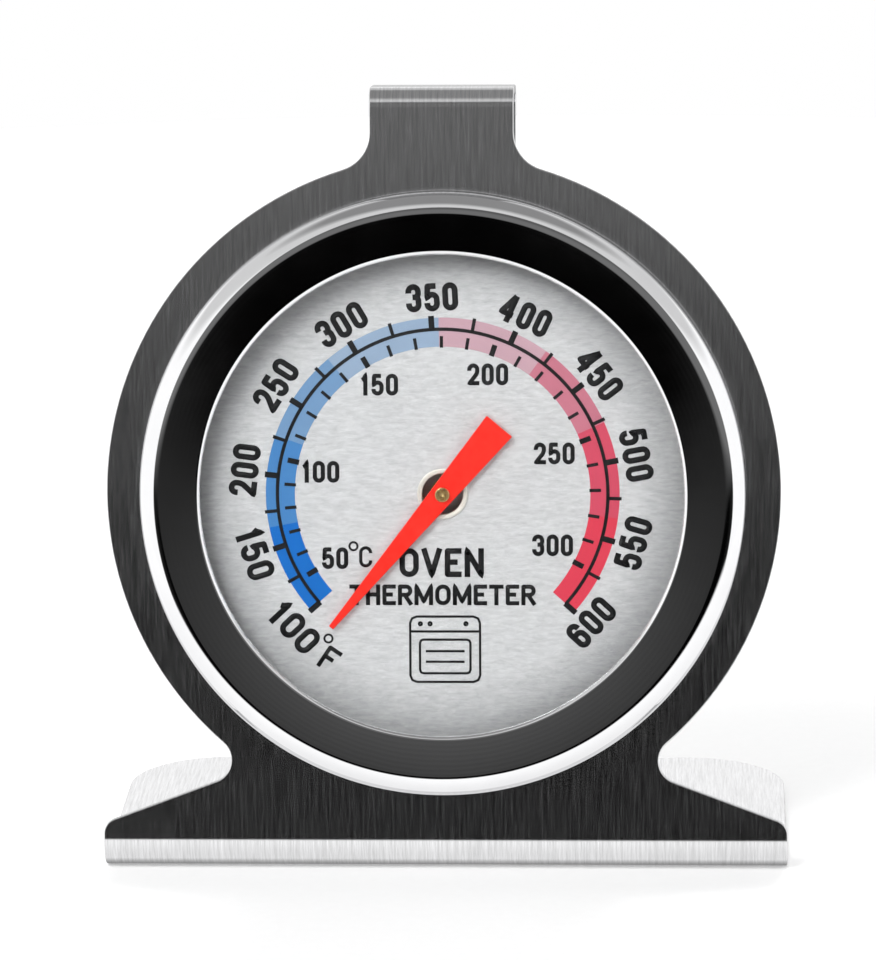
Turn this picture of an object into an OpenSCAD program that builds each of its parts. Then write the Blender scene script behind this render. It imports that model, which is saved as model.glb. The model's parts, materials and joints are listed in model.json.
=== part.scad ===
// Oven thermometer that stands on a shelf or hangs from a rack wire.
// Row frame: millimetres, +Z up, the dial faces -Y, origin at the middle of the foot's underside.
// Gauge frame: x across the dial, y up the leaning plate, z out of the dial along its axis,
// with z = 0 on the plate's front face. gauge() carries it into the row frame.

/* [Stand] */
// width of the foot
base_w = 71; // [60:1:90]
// radius of the plate's round part
disc_r = 34.8; // [32:0.1:45]
// front to back length of the foot
foot_d = 38; // [30:1:60]
// thickness of the stand's sheet
sheet_t = 0.8; // [0.5:0.1:1.5]
// angle that the plate leans back from vertical
lean = 8; // [0:1:20]
// height of the dial's centre on the plate's front face
dial_h = 39.5; // [36:0.1:50]
// outer radius of the bend between the foot and the plate
foot_bend_r = 3.3; // [2:0.1:6]
// radius of the foot's two rear corners
foot_corner_r = 10; // [2:1:15]
// slope of the shoulders where the plate widens to the foot
flare_angle = 20.5; // [10:0.5:40]
// height above the foot bend where that slope would meet the full width
flare_rise = 1.5; // [1.2:0.05:4]
// radius of the hollow corners at the plate's waist
waist_r = 2.4; // [1:0.1:5]
// radius of the outer corners at the full width
flare_corner_r = 1.6; // [0.5:0.1:3]

/* [Hook] */
// width of the hanging tab
tab_w = 14.8; // [10:0.1:25]
// radius of the hollow corners between the disc and the tab
tab_fillet_r = 4; // [1:0.5:8]
// height of the hook's top above the foot's underside
top_h = 80.5; // [78:0.1:95]
// outer radius of the hook's two bends
hook_bend_r = 2; // [1.5:0.1:4]
// depth of the hook from the plate's front face to the leg's rear face
hook_d = 8.6; // [6:0.1:14]
// length of the hook's leg, measured down from the hook's top
hook_leg = 8; // [5:0.1:10]
// radius of the corners at the leg's free end
leg_corner_r = 2; // [0.5:0.5:4]

/* [Case] */
// outer radius of the case's drum
drum_r = 28; // [24:0.1:29]
// thickness of the case's sheet
case_t = 0.35; // [0.3:0.05:0.6]
// depth of the case behind the plate's front face
case_d = 12; // [10:0.5:20]
// outer radius of the case's front flange
flange_r = 30.4; // [29:0.1:31]
// radius of the swaged bead that grips the plate from behind
bead_r = 0.9; // [0.5:0.1:1.5]
// outer radius of the drum's rear corner
case_corner_r = 1.5; // [0.5:0.1:3]
// number of vents in the rear wall
vent_count = 6; // [0:1:12]
// radius of a vent
vent_r = 1.6; // [1:0.1:3]
// distance of the vents from the axis
vent_ring_r = 20; // [16:0.5:24]
// radial clearance between the drum and the stand's hole
drum_gap = 0.2; // [0.05:0.05:0.5]

/* [Bezel and lens] */
// outer radius of the bezel
bezel_r = 31.2; // [30:0.1:34]
// radius of the bezel's opening
lip_r = 24.8; // [22:0.1:27]
// height of the bezel above the plate
bezel_h = 4.1; // [3.5:0.1:6]
// thickness of the bezel's sheet
bezel_t = 0.4; // [0.3:0.05:0.6]
// outer radius of the bezel's rounded shoulder
shoulder_r = 2.2; // [1:0.1:3]
// drop of the bezel's face from the shoulder to the lip
face_fall = 0.13; // [0:0.01:0.5]
// radius of the rounded lip
lip_bend_r = 0.45; // [0.4:0.05:1]
// outer radius of the bezel's turned-in foot
curl_r = 0.5; // [0.4:0.05:1]
// inner radius of the bezel's turned-in foot
curl_in_r = 29.4; // [28.5:0.1:30]
// radius of the glass
lens_r = 29.6; // [28:0.1:30]
// thickness of the glass
lens_t = 1.1; // [0.8:0.1:2]
// radial width of the ring that holds the glass off the dial
spacer_w = 1; // [0.5:0.1:2]

/* [Dial] */
// radius of the dial sheet
dial_r = 30.2; // [28:0.1:30.3]
// thickness of the dial sheet
dial_t = 0.3; // [0.2:0.05:0.6]
// inner radius of the eyelet in the dial's centre
eyelet_r = 2.1; // [1.5:0.05:3]
// wall thickness of the eyelet
eyelet_t = 0.2; // [0.1:0.05:0.4]
// outer radius of the eyelet's front flange
eyelet_flange_r = 2.6; // [2.2:0.05:3.5]

/* [Movement] */
// width of the strap that carries the movement
strap_w = 7; // [5:0.5:10]
// thickness of the strap
strap_t = 0.8; // [0.5:0.1:1.2]
// distance from the axis to the inner face of each strap leg
leg_x = 11.4; // [9:0.1:14]
// distance from the axis to the end of each strap foot
strap_end_x = 18; // [16:0.5:22]
// depth of the strap's front face behind the plate's front face
strap_z = 1.4; // [1:0.1:3]
// distance from the axis to each strap rivet
rivet_x = 15.2; // [14:0.1:18]
// radius of the strap rivets' shanks
rivet_r = 0.9; // [0.6:0.1:1.5]
// radius of the arbor in its bushes
arbor_r = 0.6; // [0.4:0.05:1]
// radial running clearance of the arbor in its bushes
run_gap = 0.04; // [0.02:0.01:0.08]
// outer radius of the collet on the arbor
collet_r = 2; // [1.5:0.1:3]
// thickness of the bimetal strip
strip_t = 0.35; // [0.2:0.05:0.6]
// width of the bimetal strip along the axis
strip_w = 4; // [2:0.5:6]
// number of turns of the coil
coil_turns = 6; // [3:1:8]
// depth of the coil's middle behind the plate's front face
coil_z = 6; // [5:0.5:8]
// length of the coil's straight outer end
coil_tail = 3.3; // [2:0.1:3.5]

/* [Pointer] */
// length from the axis to the pointer's tip
tip_l = 18; // [14:0.1:20]
// length from the axis to the pointer's tail
tail_l = 9.2; // [6:0.1:12]
// width at the tip
tip_w = 0.55; // [0.3:0.05:1]
// width at the tail
tail_w = 3.4; // [2:0.1:5]
// thickness of the pointer's sheet
pointer_t = 0.2; // [0.15:0.05:0.4]
// reading at rest, as an angle clockwise from the top of the dial
rest_angle = 219.9; // [200:0.1:240]

/* [Hidden] */
$fn = 96;
white_steel = [0.78, 0.78, 0.79];
dark_steel = [0.45, 0.46, 0.47];
brass = [0.80, 0.65, 0.35];
copper_steel = [0.62, 0.50, 0.42];

// foot bend: its centre, and where the plate's front face leaves it
bend_y = -foot_d / 2 + foot_bend_r;
bend_z = foot_bend_r;
face_y = bend_y - foot_bend_r * cos(lean);
face_z = bend_z + foot_bend_r * sin(lean);
// length up the plate from there to the dial's centre, and that centre in the row frame
rise = (dial_h - face_z) / cos(lean);
dial_y = face_y + rise * sin(lean);
half_w = base_w / 2;
// the flat plate's lower end laps the first few degrees of the foot bend
lap_angle = 5;
plate_low = -rise - foot_bend_r * sin(lap_angle) - 0.05;
// the sheet draws in by this much at each end of that bend
draw_in = 0.02;

// waist corner: a circle that touches the disc and the sloping shoulder
slope = tan(flare_angle);
corner_v = -rise + flare_rise;
shift = corner_v + half_w * slope + waist_r / cos(flare_angle);
waist_u = (shift * slope + sqrt(pow(shift * slope, 2)
          - (1 + slope * slope) * (shift * shift - pow(disc_r + waist_r, 2)))) / (1 + slope * slope);
waist_v = shift - waist_u * slope;
// where that circle touches the shoulder
shoulder_u = waist_u - waist_r * sin(flare_angle);
shoulder_v = waist_v - waist_r * cos(flare_angle);
// where the circle touches the disc
disc_touch = disc_r / (disc_r + waist_r);
// length from the full-width corner to where its rounding starts
corner_cut = flare_corner_r * tan((90 - flare_angle) / 2);
side_v = corner_v - corner_cut;

// tab fillet: a circle that touches the disc and the tab's side
tab_u = tab_w / 2 + tab_fillet_r;
tab_v = sqrt(pow(disc_r + tab_fillet_r, 2) - tab_u * tab_u);
tab_touch = disc_r / (disc_r + tab_fillet_r);
// hook bend centre up the plate, so that the hook's top is at top_h
hook_v = (top_h - dial_h - hook_bend_r + hook_bend_r * sin(lean)) / cos(lean);
hook_top_v = hook_v + hook_bend_r;

// stack of layers above the plate: bezel foot, case flange, dial, spacer, glass
flange_z = bezel_t - 0.05;
dial_z = flange_z + case_t;
spacer_z = dial_z + dial_t;
lens_z = bezel_h - bezel_t - 0.2 - lens_t;
shoulder_x = bezel_r - shoulder_r;
shoulder_z = bezel_h - shoulder_r;
lip_x = lip_r + lip_bend_r;
lip_z = bezel_h - face_fall - lip_bend_r;

// movement, as depths behind the plate
wall_z = case_d - case_t;
strap_back = strap_z + strap_t;
bend_out = 1.2;
bush_r = 1.3;
bush_flange_r = 1.9;
bush_flange_t = 0.4;
collet_front = strap_back + bush_flange_t + 0.25;
collet_back = coil_z + strip_w / 2 + 0.4;
strip_r = collet_r + strip_t / 2 + 0.005;
coil_pitch = (leg_x - strip_t / 2 - strip_r) / coil_turns;
rivet_v = 2.2;
pointer_z = spacer_z + eyelet_t + 0.25;
arbor_end = wall_z + 0.4;
boss_r = 1.1;
tenon_r = 0.6;
head_r = 0.75;
arbor_tip_r = 0.4;

// carries gauge-frame shapes into the row frame
module gauge() {
    translate([0, dial_y, dial_h]) rotate([90 - lean, 0, 0]) children();
}

// a profile in the gauge frame's (y, z) plane, drawn out along x
module across(w) {
    rotate([90, 0, 90]) linear_extrude(w, center = true) children();
}

// a 2D wedge from angle a0 to a1
module wedge(r, a0, a1) {
    polygon(concat([[0, 0]], [for (i = [0:4]) 3 * r * [cos(a0 + (a1 - a0) * i / 4),
                                                     sin(a0 + (a1 - a0) * i / 4)]]));
}

// a bent stretch of sheet: outer radius r, thickness t, from angle a0 to a1
module bend(c, r, t, a0, a1) {
    translate(c) intersection() {
        difference() {
            circle(r);
            if (r > t) circle(r - t);
        }
        wedge(r, a0, a1);
    }
}

// a straight stretch of sheet from corner a to corner b
module run(a, b) {
    translate([min(a[0], b[0]), min(a[1], b[1])]) square([abs(a[0] - b[0]), abs(a[1] - b[1])]);
}

// one side of the flat plate below the disc: waist corner, sloping shoulder, outer corner
module shoulder_side() {
    difference() {
        polygon([[0, 0], [waist_u * disc_touch, waist_v * disc_touch], [waist_u, waist_v],
                 [shoulder_u, shoulder_v],
                 [half_w - corner_cut * cos(flare_angle), corner_v + corner_cut * sin(flare_angle)],
                 [half_w, side_v], [half_w, plate_low], [0, plate_low]]);
        translate([waist_u, waist_v]) circle(waist_r);
    }
    // the outer corner's rounding, kept above the foot bend
    intersection() {
        translate([half_w - flare_corner_r, side_v]) circle(flare_corner_r);
        translate([half_w - 2 * flare_corner_r, plate_low])
            square([2 * flare_corner_r, 3 * flare_corner_r]);
    }
}

// one hollow corner between the disc and the tab
module tab_side() {
    difference() {
        polygon([[0, disc_r / 2], [tab_u * tab_touch, tab_v * tab_touch], [tab_u, tab_v],
                 [tab_w / 2, tab_v], [0, tab_v]]);
        translate([tab_u, tab_v]) circle(tab_fillet_r);
    }
}

module plate_outline() {
    difference() {
        union() {
            circle(disc_r);
            translate([-tab_w / 2, 0]) square([tab_w, hook_v]);
            for (s = [0, 1]) mirror([s, 0]) {
                shoulder_side();
                tab_side();
            }
        }
        circle(drum_r + drum_gap);
    }
}

module foot_outline() {
    back = foot_d / 2;
    translate([-base_w / 2, bend_y]) square([base_w, back - foot_corner_r - bend_y]);
    translate([-base_w / 2 + foot_corner_r, bend_y])
        square([base_w - 2 * foot_corner_r, back - bend_y]);
    for (s = [-1, 1])
        translate([s * (base_w / 2 - foot_corner_r), back - foot_corner_r]) circle(foot_corner_r);
}

// the hook's leg, with its free end rounded
module leg_outline() {
    low = hook_top_v - hook_leg;
    translate([-tab_w / 2, low + leg_corner_r]) square([tab_w, hook_v - low - leg_corner_r]);
    translate([-tab_w / 2 + leg_corner_r, low])
        square([tab_w - 2 * leg_corner_r, hook_v - low]);
    for (s = [-1, 1])
        translate([s * (tab_w / 2 - leg_corner_r), low + leg_corner_r]) circle(leg_corner_r);
}

// one folded sheet: foot, bend, round plate and hook
module stand() {
    color(white_steel) {
        linear_extrude(sheet_t) foot_outline();
        across(base_w - 2 * draw_in)
            bend([bend_y, bend_z], foot_bend_r, sheet_t, 180 - lean + lap_angle, 270);
        gauge() {
            translate([0, 0, -sheet_t]) linear_extrude(sheet_t) plate_outline();
            across(tab_w) {
                bend([hook_v, -hook_bend_r], hook_bend_r, sheet_t, 0, 90);
                run([hook_top_v - sheet_t, -hook_d + hook_bend_r], [hook_top_v, -hook_bend_r]);
                bend([hook_v, -hook_d + hook_bend_r], hook_bend_r, sheet_t, -90, 0);
            }
            translate([0, 0, -hook_d]) linear_extrude(sheet_t) leg_outline();
        }
    }
}

// drawn cup with a front flange and a bead swaged out behind the plate
module case() {
    bead_z = -sheet_t - bead_r;
    corner = drum_r - case_corner_r;
    color(white_steel) gauge() difference() {
        rotate_extrude() {
            run([drum_r - case_t, flange_z], [flange_r, dial_z]);
            run([drum_r - case_t, bead_z + bead_r - case_t], [drum_r, dial_z]);
            bend([drum_r, bead_z], bead_r, case_t, -90, 90);
            run([drum_r - case_t, -case_d + case_corner_r], [drum_r, bead_z - bead_r + case_t]);
            bend([corner, -case_d + case_corner_r], case_corner_r, case_t, -90, 0);
            run([0, -case_d], [corner, -wall_z]);
        }
        translate([0, 0, -case_d - 1]) {
            for (i = [0:vent_count - 1]) rotate(30 + i * 360 / vent_count)
                translate([vent_ring_r, 0, 0]) cylinder(h = 2, r = vent_r);
            for (s = [-1, 1]) translate([s * rivet_x, 0, 0]) cylinder(h = 2, r = rivet_r);
            cylinder(h = 2, r = bush_r);
        }
    }
}

// section of the bezel: the outside of the rolled sheet, less the room inside it
module bezel_section() {
    lens_top = lens_z + lens_t;
    face_z = bezel_h - face_fall;
    difference() {
        union() {
            polygon([[curl_in_r, 0], [bezel_r - curl_r, 0], [bezel_r, curl_r],
                     [bezel_r, shoulder_z], [shoulder_x, bezel_h], [lip_x, face_z],
                     [lip_r, lip_z], [lip_r, lens_top], [curl_in_r, lens_top]]);
            bend([shoulder_x, shoulder_z], shoulder_r, shoulder_r / 2, 0, 90);
            translate([bezel_r - curl_r, curl_r]) circle(curl_r);
            translate([lip_x, lip_z]) circle(lip_bend_r);
        }
        polygon([[0, flange_z], [bezel_r - bezel_t, flange_z], [bezel_r - bezel_t, shoulder_z],
                 [shoulder_x, bezel_h - bezel_t], [lip_x, face_z - bezel_t],
                 [lip_x, lens_top], [0, lens_top]]);
        translate([shoulder_x, shoulder_z]) circle(shoulder_r - bezel_t);
    }
}

// rolled ring that clamps the glass, the spacer and the dial onto the case's flange
module bezel() {
    color(dark_steel) gauge() rotate_extrude() bezel_section();
}

module lens() {
    color([0.85, 0.92, 0.95, 0.35]) gauge()
        translate([0, 0, lens_z]) cylinder(h = lens_t, r = lens_r);
}

module spacer_ring() {
    color(white_steel) gauge() translate([0, 0, spacer_z]) difference() {
        cylinder(h = lens_z - spacer_z, r = dial_r);
        translate([0, 0, -1]) cylinder(h = lens_z - spacer_z + 2, r = dial_r - spacer_w);
    }
}

module dial() {
    color([0.86, 0.87, 0.88]) gauge() translate([0, 0, dial_z]) difference() {
        cylinder(h = dial_t, r = dial_r);
        translate([0, 0, -1]) cylinder(h = dial_t + 2, r = eyelet_r + eyelet_t);
    }
}

// hollow rivet that lines the dial's centre hole
module dial_eyelet() {
    color([0.93, 0.91, 0.86]) gauge() rotate_extrude() {
        run([eyelet_r, dial_z - eyelet_t], [eyelet_r + eyelet_t, spacer_z + eyelet_t]);
        run([eyelet_r, spacer_z], [eyelet_flange_r, spacer_z + eyelet_t]);
        run([eyelet_r, dial_z - eyelet_t], [eyelet_flange_r, dial_z]);
    }
}

// hat-shaped strap on the case's rear wall
module bridge() {
    foot_top = -wall_z + strap_t;
    leg_out = leg_x + strap_t;
    color(white_steel) gauge() difference() {
        rotate([90, 0, 0]) linear_extrude(strap_w, center = true)
            for (s = [0, 1]) mirror([s, 0]) {
                run([0, -strap_back], [leg_out - bend_out, -strap_z]);
                bend([leg_out - bend_out, -strap_z - bend_out], bend_out, strap_t, 0, 90);
                run([leg_x, -strap_z - bend_out], [leg_out, -wall_z + bend_out]);
                bend([leg_x + bend_out, -wall_z + bend_out], bend_out, strap_t, 180, 270);
                run([leg_x + bend_out, -wall_z], [strap_end_x, foot_top]);
            }
        translate([0, 0, -strap_back - 1]) cylinder(h = strap_t + 2, r = bush_r);
        for (s = [-1, 1]) translate([s * rivet_x, 0, -wall_z - 1]) cylinder(h = 3, r = rivet_r);
        translate([leg_x - 1, rivet_v, -coil_z]) rotate([0, 90, 0]) cylinder(h = 3, r = 0.5);
    }
}

// half profile of a rivet: shank of radius r through a grip g, with a domed head at each end
module rivet_profile(r, head, dome, g) {
    sphere_r = (head * head + dome * dome) / (2 * dome);
    run([0, 0], [r, g]);
    for (s = [0, 1]) translate([0, s * g]) mirror([0, 1 - s]) intersection() {
        translate([0, dome - sphere_r]) circle(sphere_r);
        square([head, dome]);
    }
}

module bridge_rivets() {
    color(white_steel) gauge() for (s = [-1, 1]) translate([s * rivet_x, 0, -case_d])
        rotate_extrude() rivet_profile(rivet_r, 1.5, 0.5, case_t + strap_t);
}

module front_bush() {
    color(brass) gauge() rotate_extrude() {
        run([arbor_r + run_gap, -strap_back - bush_flange_t], [bush_r, -strap_z + 0.3]);
        run([arbor_r + run_gap, -strap_back - bush_flange_t], [bush_flange_r, -strap_back]);
    }
}

// blind bush that also stops the arbor's rear end
module rear_bush() {
    color(brass) gauge() rotate_extrude() {
        run([0, -case_d - 0.4], [bush_r, -arbor_end - 0.05]);
        run([arbor_r + run_gap, -arbor_end - 0.05], [bush_r, -wall_z + 0.5]);
        run([arbor_r + run_gap, -wall_z], [bush_flange_r, -wall_z + 0.5]);
    }
}

// half a turn of the strip about a centre at x, on the upper or the lower side
module half_turn(x, r, lower) {
    translate([x, 0]) bend([0, 0], r + strip_t / 2, strip_t, lower ? 180 : 0, lower ? 360 : 180);
}

// flat spiral of bimetal strip, held on the collet inside and on the strap's leg outside
module bimetal_coil() {
    color(copper_steel) gauge() translate([0, 0, -coil_z - strip_w / 2]) difference() {
        linear_extrude(strip_w) {
            for (k = [0:2 * coil_turns - 1])
                half_turn(k % 2 * coil_pitch / 2, strip_r + k * coil_pitch / 2, k % 2 == 1);
            run([leg_x - strip_t, 0], [leg_x, coil_tail]);
        }
        translate([leg_x - 1, rivet_v, strip_w / 2]) rotate([0, 90, 0]) cylinder(h = 2, r = 0.5);
    }
}

module coil_rivet() {
    color(white_steel) gauge() translate([leg_x - strip_t, rivet_v, -coil_z])
        rotate([0, 90, 0]) rotate_extrude() rivet_profile(0.5, 0.9, 0.3, strip_t + strap_t);
}

module coil_collet() {
    color(brass) gauge() translate([0, 0, -collet_back]) difference() {
        cylinder(h = collet_back - collet_front, r = collet_r);
        translate([0, 0, -1]) cylinder(h = collet_back - collet_front + 2, r = arbor_r);
    }
}

module arbor() {
    step_z = pointer_z - 0.55;
    color(brass) gauge() {
        translate([0, 0, -arbor_end]) cylinder(h = arbor_end + step_z, r = arbor_r);
        translate([0, 0, step_z]) cylinder(h = pointer_z + pointer_t + 0.2 - step_z, r = arbor_tip_r);
    }
}

// collar, tenon and closed head that carry the pointer on the arbor
module pointer_boss() {
    color(brass) gauge() rotate_extrude() {
        run([arbor_tip_r, pointer_z - 0.55], [boss_r, pointer_z]);
        run([arbor_tip_r, pointer_z], [tenon_r, pointer_z + pointer_t]);
        run([arbor_tip_r, pointer_z + pointer_t], [head_r, pointer_z + pointer_t + 0.3]);
    }
}

module pointer() {
    color([0.95, 0.2, 0.15]) gauge() translate([0, 0, pointer_z]) rotate(-rest_angle)
        difference() {
            linear_extrude(pointer_t)
                polygon([[-tip_w / 2, tip_l], [tip_w / 2, tip_l],
                         [tail_w / 2, -tail_l], [-tail_w / 2, -tail_l]]);
            translate([0, 0, -1]) cylinder(h = pointer_t + 2, r = tenon_r);
        }
}

stand();
case();
bezel();
lens();
spacer_ring();
dial();
dial_eyelet();
bridge();
bridge_rivets();
front_bush();
rear_bush();
bimetal_coil();
coil_rivet();
coil_collet();
arbor();
pointer_boss();
pointer();
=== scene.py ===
# %% [markdown]
# # A stand-or-hang oven thermometer
# The real object is a round bimetal gauge pressed into a folded steel plate. The plate stands on
# its foot or hangs by its hook, and a flat coil behind the dial turns a red pointer.
# The CAD model already fixes every size and place, so this lesson only makes the looks: finer
# meshes where the sheet metal is rolled or bent, printed marks on the dial, and the finishes.
# The frame is loaded first, because each piece takes its place from it.

# %% Load the fixed frame
import json
import math

import bmesh
import bpy
from mathutils import Matrix, Vector


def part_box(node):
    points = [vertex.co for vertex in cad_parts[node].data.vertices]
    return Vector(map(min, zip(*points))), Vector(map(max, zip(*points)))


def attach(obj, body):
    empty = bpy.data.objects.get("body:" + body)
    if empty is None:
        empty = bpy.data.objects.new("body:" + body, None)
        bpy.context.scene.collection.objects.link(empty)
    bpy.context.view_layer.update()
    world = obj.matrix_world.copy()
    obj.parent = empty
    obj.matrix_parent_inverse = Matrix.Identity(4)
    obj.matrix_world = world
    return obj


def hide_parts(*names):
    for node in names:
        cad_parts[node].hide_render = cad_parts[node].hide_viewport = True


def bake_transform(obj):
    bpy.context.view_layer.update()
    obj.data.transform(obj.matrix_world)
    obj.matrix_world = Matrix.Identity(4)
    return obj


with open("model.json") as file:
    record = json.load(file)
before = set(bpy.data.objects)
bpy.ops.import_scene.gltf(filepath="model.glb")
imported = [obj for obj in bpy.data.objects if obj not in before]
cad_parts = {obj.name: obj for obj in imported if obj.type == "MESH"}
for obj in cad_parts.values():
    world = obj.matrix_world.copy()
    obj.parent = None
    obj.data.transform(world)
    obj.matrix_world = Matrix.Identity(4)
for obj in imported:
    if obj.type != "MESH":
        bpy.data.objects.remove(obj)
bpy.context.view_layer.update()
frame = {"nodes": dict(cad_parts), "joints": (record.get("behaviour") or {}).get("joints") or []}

# %% [markdown]
# The gauge leans back with its plate, so it is easier to model it in its own axes: x across the
# dial, y up the plate, z out of the dial, in millimetres from the pointer's axis on the plate's
# front face. The joint of the pointer gives that axis, so one matrix carries a finished mesh from
# the gauge's axes into the frame. An empty parent could do the same, but a finished object
# should sit unturned at the origin with its place in its mesh.

# %% The gauge's axes
MM = 0.001
pivot = frame["joints"][0]
dial_out = -Vector(pivot["axis"]).normalized()
dial_across = Vector((1, 0, 0))
dial_up = dial_out.cross(dial_across)
gauge_turn = Matrix((dial_across, dial_up, dial_out)).transposed()
GAUGE = Matrix.Translation(Vector(pivot["pos_m"])) @ gauge_turn.to_4x4() @ Matrix.Scale(MM, 4)
ROW = Matrix.Scale(MM, 4)
lean = math.asin(dial_out.z)
dial_height = pivot["pos_m"][2] / MM
print("the dial leans back", round(math.degrees(lean), 2), "degrees, centre",
      round(dial_height, 2), "mm up")

# %% [markdown]
# ## How a piece is finished
# Every piece goes the same way from a bmesh to an object: its place is baked in, its faces are
# smoothed up to a limit angle, it takes its finish, and it is told which body it rides on. A
# function keeps those steps in one order.

# %% Turn a bmesh into a piece of the model
STEEP = math.radians(40)


def as_piece(name, bm, finish, body="gauge_body", place=GAUGE, stands_for=()):
    bm.transform(place)
    mesh = bpy.data.meshes.new(name)
    bm.to_mesh(mesh)
    bm.free()
    mesh.shade_smooth()
    mesh.set_sharp_from_angle(angle=STEEP)
    mesh.materials.append(finish)
    piece = bpy.data.objects.new(name, mesh)
    bpy.context.scene.collection.objects.link(piece)
    if body:
        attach(piece, body)
    if stands_for:
        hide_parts(*stands_for)
    low, high = (Vector(c) for c in (piece.bound_box[0], piece.bound_box[6]))
    print(name, len(mesh.polygons), "faces,",
          " x ".join(f"{c / MM:.2f}" for c in high - low), "mm")
    return piece


# %% [markdown]
# Sheet metal is drawn as one surface, the outside of the sheet, and given its wall by the
# Solidify modifier. Its cut edges then get a very small bevel, because no real edge is perfectly
# sharp and that thin line is what catches the light. Weighted normals keep the flat faces flat
# beside those bevels.

# %% Give a sheet its wall and its broken edges
def add_wall(piece, thickness, offset=-1):
    wall = piece.modifiers.new("wall", "SOLIDIFY")
    wall.thickness = thickness * MM
    wall.offset = offset
    wall.use_even_offset = True
    wall.use_quality_normals = True


def break_edges(piece, width, segments=2):
    edge = piece.modifiers.new("broken_edges", "BEVEL")
    edge.width = width * MM
    edge.segments = segments
    edge.limit_method = "ANGLE"
    edge.angle_limit = STEEP
    edge.use_clamp_overlap = True


def flatten_shading(piece):
    even = piece.modifiers.new("even_shading", "WEIGHTED_NORMAL")
    even.keep_sharp = True
    even.weight = 80


# %% [markdown]
# ## Finishes
# Metal is told apart by its grain: brushed steel has long straight scratches, turned brass has
# rings, and polished steel has almost none. Each finish is a node material on Object
# coordinates. A Mapping node set to Texture undoes the gauge's place, turn and scale, so a
# pattern is described in millimetres on the dial's own axes and the scratches run up the plate.

# %% Small helpers for node materials
NOISE_SPAN = 0.3, 0.7  # nearly all of a noise texture's values lie between these


def new_finish(name):
    finish = bpy.data.materials.new(name)
    finish.use_nodes = True
    return finish, finish.node_tree.nodes["Principled BSDF"]


def add_node(finish, kind, **values):
    """Lower-case names are the node's settings, and names with a capital are its sockets."""
    made = finish.node_tree.nodes.new("ShaderNode" + kind)
    for key, value in values.items():
        if key[0].islower():
            setattr(made, key, value)
        else:
            made.inputs[key.replace("_", " ")].default_value = value
    return made


def join(finish, *steps):
    """Links output to input for each pair in steps."""
    for out_socket, in_socket in steps:
        finish.node_tree.links.new(out_socket, in_socket)


def gauge_pattern(finish, stretch=(1, 1, 1)):
    """Object coordinates in the gauge's millimetres, then stretched."""
    where = add_node(finish, "TexCoord")
    undo = add_node(finish, "Mapping", vector_type="TEXTURE", Location=Vector(pivot["pos_m"]),
                    Rotation=gauge_turn.to_euler(), Scale=(MM, MM, MM))
    pull = add_node(finish, "Mapping", Scale=stretch)
    join(finish, (where.outputs["Object"], undo.inputs["Vector"]),
         (undo.outputs["Vector"], pull.inputs["Vector"]))
    return pull.outputs["Vector"]


def remap(finish, source, low, high, start=0.0, end=1.0):
    """A number moved from the range start..end to low..high."""
    scale = add_node(finish, "MapRange", clamp=True, From_Min=start, From_Max=end,
                     To_Min=low, To_Max=high)
    join(finish, (source, scale.inputs["Value"]))
    return scale.outputs["Result"]


def two_tone(finish, factor, first, second):
    """A colour between first and second by factor."""
    ramp = add_node(finish, "ValToRGB")
    ramp.color_ramp.elements[0].color = (*first, 1)
    ramp.color_ramp.elements[1].color = (*second, 1)
    join(finish, (factor, ramp.inputs["Fac"]))
    return ramp.outputs["Color"]


def relief(finish, height, shader, depth):
    """Bump of that depth in millimetres."""
    bump = add_node(finish, "Bump", Strength=1.0, Distance=depth * MM)
    join(finish, (height, bump.inputs["Height"]), (bump.outputs["Normal"], shader.inputs["Normal"]))


# %% [markdown]
# ### Brushed steel
# The strip that the stand is cut from is brushed along its length. The brushing leaves scratches
# of different widths, so two stretched noises are laid over each other: a fine one for single
# scratches and a wide one for the passes of the belt. The same grain spreads highlights
# sideways, which is what the anisotropic setting of the shader does; its direction comes from
# the stand's own UV map, whose first axis runs across the plate.

# %% Brushed steel
def brushed_steel(name, dark, light, roughness, grain, anisotropy=0.0, depth=0.004):
    finish, shader = new_finish(name)
    fine = add_node(finish, "TexNoise", Scale=1.0, Detail=4.0, Roughness=0.65)
    broad = add_node(finish, "TexNoise", Scale=1.0, Detail=2.0, Roughness=0.5)
    wider = tuple(0.35 * pull for pull in grain)
    join(finish, (gauge_pattern(finish, grain), fine.inputs["Vector"]),
         (gauge_pattern(finish, wider), broad.inputs["Vector"]))
    both = add_node(finish, "Math", operation="MULTIPLY_ADD")
    both.inputs[1].default_value = 0.5
    halved = remap(finish, broad.outputs["Fac"], 0.0, 0.5)
    join(finish, (fine.outputs["Fac"], both.inputs[0]), (halved, both.inputs[2]))
    streaks = both.outputs["Value"]
    shader.inputs["Metallic"].default_value = 1.0
    shader.inputs["Anisotropic"].default_value = anisotropy
    join(finish, (two_tone(finish, remap(finish, streaks, 0, 1, *NOISE_SPAN), dark, light),
                  shader.inputs["Base Color"]),
         (remap(finish, streaks, roughness * 0.8, roughness * 1.2, *NOISE_SPAN),
          shader.inputs["Roughness"]))
    relief(finish, streaks, shader, depth)
    return finish, shader


stand_steel, stand_shader = brushed_steel("stand_steel", (0.60, 0.60, 0.605), (0.88, 0.88, 0.89),
                                          0.185, grain=(12, 0.5, 0.5), anisotropy=0.84,
                                          depth=0.0005)
across = add_node(stand_steel, "Tangent", direction_type="UV_MAP", uv_map="grain")
join(stand_steel, (across.outputs["Tangent"], stand_shader.inputs["Tangent"]))
strap_steel, _ = brushed_steel("strap_steel", (0.50, 0.50, 0.51), (0.66, 0.66, 0.67), 0.42,
                               grain=(0.3, 9, 9))
print("brushed finishes:", stand_steel.name, strap_steel.name)

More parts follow.
